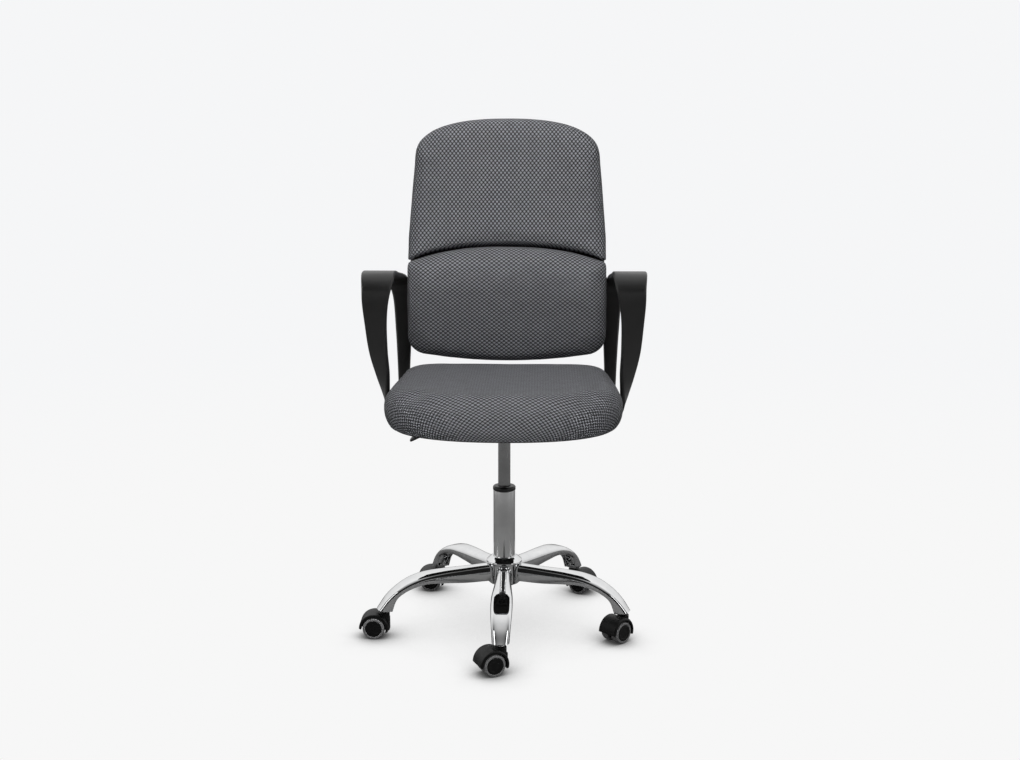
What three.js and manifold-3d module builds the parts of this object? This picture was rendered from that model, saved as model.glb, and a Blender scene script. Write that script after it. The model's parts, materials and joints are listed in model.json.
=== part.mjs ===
// Swivel office chair with a backrest and loop arms, on a gas lift and a five-star base with castors.
// Millimetres, +Z up. The origin is on the floor on the column's axis, and the sitter faces -Y.
import * as THREE from "three";
import { mergeVertices } from "three/addons/utils/BufferGeometryUtils.js";
import Module from "manifold-3d";

const wasm = await Module();
wasm.setup();

// ---- driving dimensions -------------------------------------------------------------------------

const GAP = 0.3; // between pieces that touch on the real chair
const TAU = 2 * Math.PI;

const FLOOR_TO_HUB = 103;
const HUB_TOP = 166;
const HUB_RADIUS = 38;

const COLUMN_RADIUS = 25; // outer tube of the gas lift
const COLUMN_WALL = 1.5;
const COLUMN_BOTTOM = 98;
const COLUMN_TOP = 322;
const SLEEVE_TOP = 332;
const LIFT_RADIUS = 14; // pressure tube
const LIFT_BOTTOM = 214;
const LIFT_TOP = 455;
const PISTON_ROD_RADIUS = 5;

const LEG_COUNT = 5;
const LEG_REACH = 284; // column axis to castor stem
const LEG_START = HUB_RADIUS + 0.5;
const LEG_SKIN = 3;
const FIRST_LEG_ANGLE = -90; // the first leg points forwards

const WHEEL_RADIUS = 25; // axle to the flat of a tread facet
const WHEEL_FACETS = 20;
const WHEEL_INNER_FACE = 6; // from the castor's middle plane
const WHEEL_OUTER_FACE = 24.5;
const AXLE_RADIUS = 3;
const CASTOR_TRAIL = 22; // stem axis to axle
const STEM_RADIUS = 5.5;
const STEM_TOP = 74;
const HOOD_RADIUS = 33;
// Where each castor trails at rest, in degrees, in the order of the legs.
const CASTOR_HEADINGS = [-155, -135, -30, 180, 180];

const BOARD_THICKNESS = 12;
const BOARD_UNDERSIDE = 487.3;
const SEAT_HALF_WIDTH = 262;
const SEAT_FRONT = -255;
const SEAT_WIDEST_Y = -60;
const SEAT_REAR = 215;
const SEAT_CROWN = 578;

const PLATE_UNDERSIDE = 484;
const PLATE_THICKNESS = 3;
const LEVER_HEIGHT = 466;
const LEVER_ROD_RADIUS = 4;
const LEVER_HANDLE_ROOT = -108;
const LEVER_WIDTH = 30;

const BACK_LEAN = THREE.MathUtils.degToRad(9.5);
const BACK_FOOT = new THREE.Vector3(0, 204, 580); // foot of the back board's front face
const BACK_HALF_WIDTH = 236;
const BACK_TOP_HALF_WIDTH = 221;
const BACK_SHOULDER = 482; // up the board, where the rounded top begins
const BACK_CROWN = 579; // up the board, at the top
const LUMBAR_HALF_WIDTH = 237;
const LUMBAR_TOP = 282; // up the board, at the middle
const LUMBAR_SHOULDER_DROP = 26;

const COVER_BACK_FACE = 26; // behind the board's front face, where the arms bolt on
const ARM_THICKNESS = 12;
const FOOT_PLATE_TOP = 487;
const BOLT_RADIUS = 3;
const BOLT_HOLE_RADIUS = 3.7;
const PLATE_BOLT_X = 72;
const PLATE_BOLT_Y = 75;
const ARM_BOLT_X = 200;
const ARM_BOLT_Y = [78, 148];
const BACK_BOLT_X = 210;
const BACK_BOLT_UP = [95, 190];

// ---- helpers ------------------------------------------------------------------------------------

const v2 = (x, y) => new THREE.Vector2(x, y);
const v3 = (x, y, z) => new THREE.Vector3(x, y, z);

function solidOf(geometry) {
  const bare = new THREE.BufferGeometry().setAttribute("position", geometry.getAttribute("position"));
  bare.setIndex(geometry.index);
  const merged = mergeVertices(bare, 1e-3);
  const vertProperties = merged.getAttribute("position").array;
  const triVerts = new Uint32Array(merged.index.array);
  return new wasm.Manifold(new wasm.Mesh({ numProp: 3, vertProperties, triVerts }));
}

function geometryOf(solid) {
  const { vertProperties, triVerts } = solid.getMesh();
  const geometry = new THREE.BufferGeometry();
  geometry.setAttribute("position", new THREE.BufferAttribute(new Float32Array(vertProperties), 3));
  geometry.setIndex(new THREE.BufferAttribute(new Uint32Array(triVerts), 1));
  geometry.computeVertexNormals();
  return geometry;
}

const join = (...geometries) => geometryOf(geometries.map(solidOf).reduce((sum, s) => sum.add(s)));
const cut = (body, ...tools) =>
  geometryOf(tools.map(solidOf).reduce((rest, s) => rest.subtract(s), solidOf(body)));
const common = (a, b) => geometryOf(solidOf(a).intersect(solidOf(b)));

// A closed skin over rings of equally many points, each counter-clockwise seen from the last ring's side.
function loft(rings) {
  const size = rings[0].length;
  const last = (rings.length - 1) * size;
  const index = [];
  for (let start = 0; start < last; start += size) {
    for (let k = 0; k < size; k++) {
      const a = start + k;
      const b = start + ((k + 1) % size);
      index.push(a, b, b + size, a, b + size, a + size);
    }
  }
  for (let k = 1; k + 1 < size; k++) {
    index.push(0, k + 1, k, last, last + k, last + k + 1);
  }
  return new THREE.BufferGeometry().setFromPoints(rings.flat()).setIndex(index);
}

// Turns a profile of [radius, height] pairs, anticlockwise in that plane, about +Z.
function turned(profile, segments, firstAngle = 0) {
  const points = profile.map(([radius, height]) => v2(radius, height));
  return new THREE.LatheGeometry(points, segments, firstAngle).rotateX(Math.PI / 2);
}

// A turned tube: its wall lies between two radii, and it is open at both ends.
const tube = (inner, outer, bottom, top, segments) =>
  turned([[inner, bottom], [outer, bottom], [outer, top], [inner, top], [inner, bottom]], segments);

const rod = (radius, bottom, top, segments) =>
  turned([[0, bottom], [radius, bottom], [radius, top], [0, top]], segments);

const block = (from, to) => {
  const size = to.clone().sub(from);
  const middle = from.clone().add(to).multiplyScalar(0.5);
  return new THREE.BoxGeometry(size.x, size.y, size.z).translate(middle.x, middle.y, middle.z);
};

// A plate of even thickness, standing on the plane z = bottom.
const plate = (outline, bottom, thickness) =>
  new THREE.ExtrudeGeometry(new THREE.Shape(outline), {
    depth: thickness,
    bevelEnabled: false,
  }).translate(0, 0, bottom);

// Draws an outline in by the same distance on each side.
function inset(outline, distance) {
  const box = new THREE.Box2().setFromPoints(outline);
  const centre = box.getCenter(v2(0, 0));
  const half = box.getSize(v2(0, 0)).multiplyScalar(0.5);
  return outline.map((p) =>
    v2(
      centre.x + ((p.x - centre.x) * (half.x - distance)) / half.x,
      centre.y + ((p.y - centre.y) * (half.y - distance)) / half.y,
    ),
  );
}

// A bolt with a low head, its shank pointing along +Z from the head's underside at z = 0.
const BOLT_HEAD_HEIGHT = 4;
const bolt = (length) =>
  turned([[0, -BOLT_HEAD_HEIGHT], [5.5, -BOLT_HEAD_HEIGHT], [5.5, 0], [BOLT_RADIUS, 0],
    [BOLT_RADIUS, length], [0, length]], 8);

// ---- materials ----------------------------------------------------------------------------------

const finish = (color, roughness, metalness) => () =>
  new THREE.MeshStandardMaterial({ color, roughness, metalness });
const chrome = finish(0xc9cbcd, 0.12, 1);
const satinSteel = finish(0x9a9c9e, 0.4, 1);
const darkSteel = finish(0x6f7174, 0.35, 1);
const blackPaintedSteel = finish(0x1c1d1f, 0.5, 0.6);
const blackPlastic = finish(0x1b1b1d, 0.55, 0);
const greyTread = finish(0xb3b4b6, 0.7, 0);
const greyFabric = finish(0x55575a, 0.95, 0);
const blackPlywood = finish(0x1c1b1a, 0.75, 0);

const chair = new THREE.Group();

function add(name, geometry, material, group = chair) {
  const mesh = new THREE.Mesh(geometry, material());
  mesh.name = name;
  group.add(mesh);
  return mesh;
}

// ---- base: hub, legs and column -----------------------------------------------------------------

const hub = turned(
  [[COLUMN_RADIUS + GAP, FLOOR_TO_HUB], [34, FLOOR_TO_HUB], [HUB_RADIUS, 107], [HUB_RADIUS, 150],
    [41, 152], [41, 156], [33, 162], [27.5, HUB_TOP], [COLUMN_RADIUS + GAP, HUB_TOP],
    [COLUMN_RADIUS + GAP, FLOOR_TO_HUB]],
  30,
);
add("hub", hub, chrome);

// A leg's stations from the hub outwards: crown and underside as [reach, height], and half width.
const LEG_STATIONS = [
  { crown: [LEG_START, 149], underside: [LEG_START, 113], halfWidth: 17 },
  { crown: [95, 147], underside: [95, 114], halfWidth: 18.5 },
  { crown: [145, 145.5], underside: [145, 118.5], halfWidth: 21 },
  { crown: [190, 141], underside: [184, 121], halfWidth: 23.5 },
  { crown: [225, 130.5], underside: [213, 116], halfWidth: 24 },
  { crown: [255, 113], underside: [238, 106], halfWidth: 23 },
  { crown: [279, 92], underside: [258, 90], halfWidth: 21 },
  { crown: [299, 66], underside: [269, 62], halfWidth: 19 },
];
// Half of a leg's section: share of the half width, share of the height.
const LEG_SECTION = [[0.9, 0], [1, 0.4], [0.85, 0.8], [0.4, 1]];

function legRing({ crown, underside, halfWidth }, section) {
  const low = v3(underside[0], 0, underside[1]);
  const high = v3(crown[0], 0, crown[1]);
  const side = (sign) =>
    section.map(([across, up]) => low.clone().lerp(high, up).setY(sign * across * halfWidth));
  return [...side(1), ...side(-1).reverse()];
}

// The pressed leg is a channel, open underneath, with a socket for the castor's stem at its end.
function legGeometry() {
  const skin = loft(LEG_STATIONS.map((station) => legRing(station, LEG_SECTION)));
  const channel = LEG_STATIONS.map(({ crown, underside, halfWidth }, k) => {
    const isFirst = k === 0;
    const isLast = k === LEG_STATIONS.length - 1;
    const back = isLast ? LEG_SKIN : 0;
    const forward = isFirst ? 5 : 0;
    return legRing(
      {
        crown: [crown[0] - forward - back * 1.5, crown[1] - LEG_SKIN],
        underside: [underside[0] - forward - back, underside[1] - 6],
        halfWidth: halfWidth - LEG_SKIN,
      },
      LEG_SECTION,
    );
  });
  const socketBottom = 62;
  const socket = rod(9.5, socketBottom, 84, 12).translate(LEG_REACH, 0, 0);
  const bore = rod(STEM_RADIUS + 0.5, socketBottom - 5, STEM_TOP + 1, 12).translate(LEG_REACH, 0, 0);
  return cut(join(cut(skin, loft(channel)), common(socket, skin)), bore);
}

const leg = legGeometry();
const legAngle = (k) => THREE.MathUtils.degToRad(FIRST_LEG_ANGLE + (k * 360) / LEG_COUNT);

const stem = turned(
  [[0, 34], [STEM_RADIUS, 34], [STEM_RADIUS, 59], [9, 59], [9, 61.5], [STEM_RADIUS, 61.5],
    [STEM_RADIUS, STEM_TOP - 2], [4, STEM_TOP], [0, STEM_TOP]],
  12,
);

for (let k = 0; k < LEG_COUNT; k++) {
  const arm = new THREE.Group();
  arm.rotation.z = legAngle(k);
  chair.add(arm);
  add(`leg_${k + 1}`, leg, chrome, arm);
  add(`castor_stem_${k + 1}`, stem, satinSteel, arm).position.x = LEG_REACH;
}

// The outer tube stands in the hub and has a floor with a hole for the piston rod's clip.
const columnBore = COLUMN_RADIUS - COLUMN_WALL;
add(
  "column_tube",
  turned(
    [[4, COLUMN_BOTTOM], [COLUMN_RADIUS, COLUMN_BOTTOM], [COLUMN_RADIUS, COLUMN_TOP],
      [columnBore, COLUMN_TOP], [columnBore, COLUMN_BOTTOM + 3], [4, COLUMN_BOTTOM + 3],
      [4, COLUMN_BOTTOM]],
    30,
  ),
  satinSteel,
);

// The guide sleeve lines the tube's upper half and ends in a collar on its rim.
const sleeveBore = LIFT_RADIUS + 0.4;
add(
  "guide_sleeve",
  turned(
    [[sleeveBore, 232], [columnBore - GAP, 232], [columnBore - GAP, COLUMN_TOP + GAP],
      [26, COLUMN_TOP + GAP], [26, SLEEVE_TOP - 2], [24, SLEEVE_TOP], [sleeveBore, SLEEVE_TOP],
      [sleeveBore, 232]],
    30,
  ),
  blackPlastic,
);

// ---- gas lift -----------------------------------------------------------------------------------

const bearingBottom = COLUMN_BOTTOM + 3 + GAP;
const bearingTop = bearingBottom + 7;
add("thrust_bearing", tube(6, 15, bearingBottom, bearingTop, 20), darkSteel);

// The rod stands on the bearing with a shoulder, and its piston runs in the pressure tube.
const rodFoot = bearingTop + GAP;
add(
  "piston_rod",
  turned(
    [[0, rodFoot], [8, rodFoot], [8, rodFoot + 3], [PISTON_ROD_RADIUS, rodFoot + 3],
      [PISTON_ROD_RADIUS, LIFT_BOTTOM + 12], [11.6, LIFT_BOTTOM + 12], [11.6, LIFT_BOTTOM + 20],
      [0, LIFT_BOTTOM + 20]],
    20,
  ),
  darkSteel,
);

const tubeBore = 12;
const pinRadius = 3;
const valveFloor = LIFT_TOP - 14;
add(
  "pressure_tube",
  turned(
    [[PISTON_ROD_RADIUS + 0.4, LIFT_BOTTOM], [LIFT_RADIUS, LIFT_BOTTOM], [LIFT_RADIUS, LIFT_TOP - 16],
      [LIFT_RADIUS - 0.5, LIFT_TOP], [pinRadius + 0.4, LIFT_TOP], [pinRadius + 0.4, valveFloor],
      [tubeBore, valveFloor - 6], [tubeBore, LIFT_BOTTOM + 10],
      [PISTON_ROD_RADIUS + 0.4, LIFT_BOTTOM + 10], [PISTON_ROD_RADIUS + 0.4, LIFT_BOTTOM]],
    20,
  ),
  darkSteel,
);

const pinTop = LEVER_HEIGHT - LEVER_ROD_RADIUS - 1;
add("release_pin", rod(pinRadius, pinTop - 12, pinTop, 20), satinSteel);

// ---- castors ------------------------------------------------------------------------------------

// Castor frame: the stem is on the Z axis, and the wheels trail along +X with their axle along Y.
const acrossAxle = (geometry) =>
  geometry.rotateX(-Math.PI / 2).translate(CASTOR_TRAIL, 0, WHEEL_RADIUS);

function hoodGeometry() {
  const reach = 26;
  const drum = acrossAxle(rod(HOOD_RADIUS, -WHEEL_OUTER_FACE, WHEEL_OUTER_FACE, 24));
  const housing = rod(13, 26, 58, 16);
  const front = block(v3(-13, -13, 14), v3(13, 13, 26.5));
  const wheelSpace = (side) => {
    const from = side > 0 ? WHEEL_INNER_FACE - 1.2 : -reach;
    const to = side > 0 ? reach : -WHEEL_INNER_FACE + 1.2;
    return acrossAxle(rod(WHEEL_RADIUS + 2.6, from, to, 24));
  };
  // The hood is cut off below a line that falls from its tail to its stem side.
  const below = plate([v2(-40, -20), v2(70, -20), v2(70, 30), v2(14, 13), v2(-40, 22)], 0, 80)
    .rotateX(Math.PI / 2)
    .translate(0, 40, 0);
  const axleHole = acrossAxle(rod(AXLE_RADIUS + 0.4, -10, 10, 12));
  const stemHole = rod(STEM_RADIUS + 0.4, 33, 62, 12);
  const blank = join(drum, housing, front);
  return cut(blank, wheelSpace(1), wheelSpace(-1), below, axleHole, stemHole);
}

// One wheel, from its inner face outwards: a rounded tread and a domed cap around the axle.
function wheelGeometry(side) {
  const facetRadius = WHEEL_RADIUS / Math.cos(Math.PI / WHEEL_FACETS);
  const shoulder = facetRadius - 2.5;
  const bore = AXLE_RADIUS + 0.4;
  const profile = [[bore, WHEEL_INNER_FACE], [shoulder, WHEEL_INNER_FACE],
    [facetRadius, WHEEL_INNER_FACE + 2.5], [facetRadius, WHEEL_OUTER_FACE - 3],
    [shoulder, WHEEL_OUTER_FACE - 0.5], [18, WHEEL_OUTER_FACE], [bore, WHEEL_OUTER_FACE]];
  const sided = side > 0 ? profile : profile.map(([radius, y]) => [radius, -y]).reverse();
  // Half a facet of turn puts a flat at the bottom, where the wheel stands on the floor.
  const halfFacet = Math.PI / WHEEL_FACETS;
  return acrossAxle(turned([...sided, sided[0]], WHEEL_FACETS, halfFacet));
}

const hood = hoodGeometry();
const axle = acrossAxle(rod(AXLE_RADIUS, -(WHEEL_OUTER_FACE - 1.5), WHEEL_OUTER_FACE - 1.5, 12));
const rightWheel = wheelGeometry(-1);
const leftWheel = wheelGeometry(1);

CASTOR_HEADINGS.forEach((heading, k) => {
  const castor = new THREE.Group();
  castor.position.set(LEG_REACH * Math.cos(legAngle(k)), LEG_REACH * Math.sin(legAngle(k)), 0);
  castor.rotation.z = THREE.MathUtils.degToRad(heading);
  chair.add(castor);
  add(`castor_hood_${k + 1}`, hood, blackPlastic, castor);
  add(`castor_axle_${k + 1}`, axle, satinSteel, castor);
  add(`castor_wheel_${k + 1}_right`, rightWheel, greyTread, castor);
  add(`castor_wheel_${k + 1}_left`, leftWheel, greyTread, castor);
});

// ---- seat: mechanism plate, board, cushion ------------------------------------------------------

function boltHoles(points, bottom, top) {
  return points.map(([x, y]) => rod(BOLT_HOLE_RADIUS, bottom, top, 8).translate(x, y, 0));
}

const both = [-1, 1];
const plateBolts = both.flatMap((sx) => both.map((sy) => [sx * PLATE_BOLT_X, sy * PLATE_BOLT_Y]));
const armSeatBolts = both.flatMap((sx) => ARM_BOLT_Y.map((y) => [sx * ARM_BOLT_X, y]));

// The seat's outline is widest forward of its middle: a wide curve in front, and tight corners behind,
// where the seat narrows.
function seatOutline(count) {
  return Array.from({ length: count }, (_, k) => {
    const angle = (k * TAU) / count;
    const [c, s] = [Math.cos(angle), Math.sin(angle)];
    const isFront = s < 0;
    const power = 2 / (isFront ? 2.3 : 8);
    const up = Math.abs(s) ** power;
    const reach = (isFront ? SEAT_FRONT : SEAT_REAR) - SEAT_WIDEST_Y;
    const narrowing = isFront ? 1 : 1 - 0.07 * up ** 1.5;
    const x = SEAT_HALF_WIDTH * Math.sign(c) * Math.abs(c) ** power * narrowing;
    return v2(x, SEAT_WIDEST_Y + reach * up);
  });
}

// A pressed plate carries a box that holds the lift's taper and the release lever.
function seatPlateGeometry() {
  const floor = 449;
  const flange = block(v3(-92, -95, PLATE_UNDERSIDE), v3(92, 95, PLATE_UNDERSIDE + PLATE_THICKNESS));
  const box = block(v3(-36, -50, floor), v3(36, 60, PLATE_UNDERSIDE + 1));
  const socket = rod(19, floor - 11, floor + 1, 20);
  const hollow = block(v3(-33, -47, floor + 3), v3(33, 57, PLATE_UNDERSIDE));
  const bore = rod(LIFT_RADIUS + GAP, floor - 12, floor + 4, 20);
  const slot = block(v3(-40, -6, LEVER_HEIGHT - 8), v3(-30, 6, LEVER_HEIGHT + 8));
  const holes = boltHoles(plateBolts, PLATE_UNDERSIDE - 1, PLATE_UNDERSIDE + 4);
  return cut(join(flange, box, socket), hollow, bore, slot, ...holes);
}

const boardInset = 16;
const boardTop = BOARD_UNDERSIDE + BOARD_THICKNESS;
const seatBoard = cut(
  plate(inset(seatOutline(32), boardInset), BOARD_UNDERSIDE, BOARD_THICKNESS),
  ...boltHoles([...plateBolts, ...armSeatBolts], BOARD_UNDERSIDE - 1, boardTop + 1),
);

// The cushion wraps the board's edge. Each level is [height, inset from the outline].
const CUSHION_LEVELS = [[487.6, 14], [497, 4], [515, 0], [542, 0], [558, 5], [569, 18], [575, 42],
  [SEAT_CROWN, 95]];

function seatCushionGeometry() {
  const outline = seatOutline(32);
  const skin = loft(
    CUSHION_LEVELS.map(([z, distance]) => inset(outline, distance).map((p) => v3(p.x, p.y, z))),
  );
  const pocket = plate(inset(outline, boardInset - 0.6), BOARD_UNDERSIDE - 2, BOARD_THICKNESS + 2.4);
  return cut(skin, pocket);
}

add("seat_plate", seatPlateGeometry(), blackPaintedSteel);
add("seat_board", seatBoard, blackPlywood);
add("seat_cushion", seatCushionGeometry(), greyFabric);
plateBolts.forEach(([x, y], k) => {
  const piece = add(`plate_bolt_${k + 1}`, bolt(14), darkSteel);
  piece.position.set(x, y, PLATE_UNDERSIDE - GAP);
});

// ---- height lever -------------------------------------------------------------------------------

const rodEnd = LEVER_HANDLE_ROOT - 30;
const alongX = (geometry) => geometry.rotateY(-Math.PI / 2).translate(0, 0, LEVER_HEIGHT);
add("lever_rod", alongX(rod(LEVER_ROD_RADIUS, -4, -rodEnd, 12)), blackPaintedSteel);

// The handle droops from the rod to its tip: [x, middle height, half thickness] along it.
function leverHandleGeometry() {
  const spine = new THREE.CatmullRomCurve3([
    v3(LEVER_HANDLE_ROOT, LEVER_HEIGHT, 7),
    v3(-145, LEVER_HEIGHT - 1, 7),
    v3(-185, LEVER_HEIGHT - 14, 6.5),
    v3(-214, LEVER_HEIGHT - 29, 4.5),
  ]);
  const stations = spine.getPoints(7);
  const upper = stations.map((p) => v2(p.x, p.y + p.z));
  const lower = stations.map((p) => v2(p.x, p.y - p.z)).reverse();
  const blade = plate([...upper.reverse(), ...lower.reverse()], -LEVER_WIDTH / 2, LEVER_WIDTH)
    .rotateX(Math.PI / 2);
  return cut(blade, alongX(rod(LEVER_ROD_RADIUS + GAP, -LEVER_HANDLE_ROOT - 1, -rodEnd + 1, 12)));
}
add("lever_handle", leverHandleGeometry(), blackPlastic);

// ---- backrest -----------------------------------------------------------------------------------

// Back frame: X across, Y towards the rear from the board's front face, Z up the board.
const back = new THREE.Group();
back.position.copy(BACK_FOOT);
back.rotation.x = -BACK_LEAN;
chair.add(back);

// The back's outline in its own plane, from a straight foot up to the rounded top.
function backOutline(foot) {
  const top = [];
  const steps = 14;
  for (let k = 0; k <= steps; k++) {
    const angle = (k * Math.PI) / steps;
    const [c, s] = [Math.cos(angle), Math.sin(angle)];
    const power = 2 / 2.45;
    const rise = (BACK_CROWN - BACK_SHOULDER) * s ** power;
    top.push(v2(BACK_TOP_HALF_WIDTH * Math.sign(c) * Math.abs(c) ** power, BACK_SHOULDER + rise));
  }
  const side = (sx) => [v2(sx * (BACK_HALF_WIDTH - 18), foot), v2(sx * BACK_HALF_WIDTH, foot + 24),
    v2(sx * BACK_HALF_WIDTH, 300)];
  return [...side(1), ...top, ...side(-1).reverse()];
}

// The lumbar pad's outline: rounded lower corners and an arched top edge.
function lumbarOutline() {
  const half = LUMBAR_HALF_WIDTH;
  const shoulder = LUMBAR_TOP - LUMBAR_SHOULDER_DROP;
  const shape = new THREE.Shape();
  shape.moveTo(0, 0);
  shape.quadraticCurveTo(half * 0.6, 0, half * 0.82, 10);
  shape.quadraticCurveTo(half, 18, half, 60);
  shape.lineTo(half, shoulder - 10);
  shape.quadraticCurveTo(half, shoulder + 2, half - 16, shoulder + 6);
  shape.quadraticCurveTo(half * 0.5, LUMBAR_TOP, 0, LUMBAR_TOP);
  const right = shape.getPoints(4);
  const left = right.slice(1, -1).reverse().map((p) => v2(-p.x, p.y));
  return [...right, ...left];
}

// A plate in the back frame, from one depth to another.
const backPlate = (outline, front, rear) =>
  plate(outline, 0, rear - front).rotateX(Math.PI / 2).translate(0, rear, 0);

// A crowned pad in the back frame. Each level is [depth, inset], from its back to its face.
const pad = (outline, levels) =>
  loft(levels.map(([depth, distance]) => inset(outline, distance).map((p) => v3(p.x, depth, p.y))));

const backBolts = both.flatMap((sx) => BACK_BOLT_UP.map((up) => [sx * BACK_BOLT_X, up]));
const backBoltHoles = (front, rear) =>
  backBolts.map(([x, up]) => {
    const hole = rod(BOLT_HOLE_RADIUS, front, rear, 8).rotateX(-Math.PI / 2);
    return hole.translate(x, 0, up);
  });

const backBoard = cut(
  backPlate(inset(backOutline(10), 10), 0, BOARD_THICKNESS),
  ...backBoltHoles(-1, BOARD_THICKNESS + 1),
);
const coverFront = BOARD_THICKNESS + GAP;
const backCover = cut(
  pad(backOutline(6), [[34, 110], [32, 80], [COVER_BACK_FACE, 58], [COVER_BACK_FACE, 9],
    [COVER_BACK_FACE - 5, 5], [coverFront, 5]]),
  ...backBoltHoles(BOARD_THICKNESS, COVER_BACK_FACE + 2),
);
const lumbar = lumbarOutline();
const lumbarPad = pad(lumbar, [[-GAP, 8], [-14, 0], [-42, 0], [-56, 9], [-64, 28], [-68, 62]]);
const upperPad = cut(
  pad(backOutline(LUMBAR_TOP - 46), [[-GAP, 6], [-12, 0], [-30, 3], [-41, 14], [-47, 36], [-50, 75]]),
  backPlate(inset(lumbar, -0.8), -90, 10),
);

add("back_board", backBoard, blackPlywood, back);
add("back_cover", backCover, blackPlastic, back);
add("lumbar_pad", lumbarPad, greyFabric, back);
add("upper_pad", upperPad, greyFabric, back);

// ---- arms ---------------------------------------------------------------------------------------

// The two edges of the arm's strap on the sitter's left, +X: under the seat, up and forward, along the armrest,
// and down behind the backrest. Each point is [x, y, z].
const ARM_INNER_EDGE = [[214, 50, 480], [244, 48, 480.5], [262, 44, 491], [268.5, 38, 513],
  [266, 28, 545], [262, 8, 590], [261, -22, 650], [258, -44, 718], [252, -57, 762],
  [245, -56, 792], [240, -40, 813], [239, -12, 818], [240, 80, 805], [240, 190, 789],
  [239, 235, 779], [235, 262, 757], [231, 262, 725], [232, 249, 640], [235, 232, 548],
  [235, 225, 506], [231, 208, 483], [224, 186, 480]];
const ARM_OUTER_EDGE = [[214, 98, 480], [246, 97, 480.5], [264, 94, 491], [275, 89, 513],
  [284, 80, 541], [294, 56, 580], [304, 12, 638], [309, -32, 714], [311, -55, 762],
  [311, -57, 791], [313, -43, 812], [315, -12, 818], [315, 80, 805], [305, 190, 789],
  [296, 235, 778], [285, 262, 757], [277, 262, 730], [270, 250, 652], [265, 235, 570],
  [262, 225, 506], [258, 208, 483], [252, 186, 480]];
const ARM_EDGE_ROUNDING = 3.5;
const FOOT_PLATE_THICKNESS = 11.5;
const TAB_HEIGHT = 36;

function strapSection(half) {
  const flat = half - ARM_EDGE_ROUNDING;
  return [[half, -0.4], [half, 0.4], [flat, 1], [-flat, 1], [-half, 0.4], [-half, -0.4], [-flat, -1],
    [flat, -1]];
}

function strapGeometry() {
  const curve = (points) =>
    new THREE.CatmullRomCurve3(points.map(([x, y, z]) => v3(x, y, z)), false, "centripetal");
  const inner = curve(ARM_INNER_EDGE);
  const outer = curve(ARM_OUTER_EDGE);
  const steps = 32;
  const rings = [];
  for (let k = 0; k <= steps; k++) {
    const from = inner.getPoint(k / steps);
    const to = outer.getPoint(k / steps);
    const middle = from.clone().lerp(to, 0.5);
    const across = to.clone().sub(from).normalize();
    const along = inner.getTangent(k / steps).add(outer.getTangent(k / steps));
    const normal = along.cross(across).normalize();
    rings.push(
      strapSection(from.distanceTo(to) / 2).map(([a, n]) =>
        middle.clone().addScaledVector(across, a).addScaledVector(normal, (n * ARM_THICKNESS) / 2),
      ),
    );
  }
  return loft(rings);
}

// A piece shaped in the back frame, moved into the chair's.
const inBackFrame = (geometry) =>
  geometry.rotateX(-BACK_LEAN).translate(BACK_FOOT.x, BACK_FOOT.y, BACK_FOOT.z);

function armGeometry() {
  const footPlate = plate(
    [v2(182, 54), v2(190, 46), v2(246, 46), v2(252, 60), v2(252, 186), v2(246, 200), v2(190, 200),
      v2(182, 192)],
    FOOT_PLATE_TOP - FOOT_PLATE_THICKNESS,
    FOOT_PLATE_THICKNESS,
  );
  const tabs = BACK_BOLT_UP.map((up) => {
    const half = TAB_HEIGHT / 2;
    const front = COVER_BACK_FACE + GAP;
    const outline = [v2(196, up - 10), v2(203, up - half), v2(240, up - half), v2(240, up + half),
      v2(203, up + half), v2(196, up + 10)];
    return inBackFrame(backPlate(outline, front, front + 10));
  });
  const footHoles = boltHoles(
    ARM_BOLT_Y.map((y) => [ARM_BOLT_X, y]),
    FOOT_PLATE_TOP - 20,
    FOOT_PLATE_TOP + 5,
  );
  const tabHoles = BACK_BOLT_UP.map((up) => {
    const hole = rod(BOLT_HOLE_RADIUS, COVER_BACK_FACE - 2, COVER_BACK_FACE + 14, 8);
    return inBackFrame(hole.rotateX(-Math.PI / 2).translate(BACK_BOLT_X, 0, up));
  });
  return cut(join(strapGeometry(), footPlate, ...tabs), ...footHoles, ...tabHoles);
}

const arm = armGeometry();
add("arm_left", arm, blackPlastic);
add("arm_right", arm, blackPlastic).scale.x = -1;

armSeatBolts.forEach(([x, y], k) => {
  const piece = add(`arm_seat_bolt_${k + 1}`, bolt(22), darkSteel);
  piece.position.set(x, y, FOOT_PLATE_TOP - FOOT_PLATE_THICKNESS - GAP);
});
const tabRear = COVER_BACK_FACE + 10 + 2 * GAP;
backBolts.forEach(([x, up], k) => {
  const piece = add(`arm_back_bolt_${k + 1}`, bolt(34), darkSteel, back);
  piece.rotation.x = Math.PI / 2;
  piece.position.set(x, tabRear, up);
});

export default chair;
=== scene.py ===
import json
import math

import bmesh
import bpy
import numpy as np
from mathutils import Matrix, Vector
from mathutils.bvhtree import BVHTree


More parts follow.
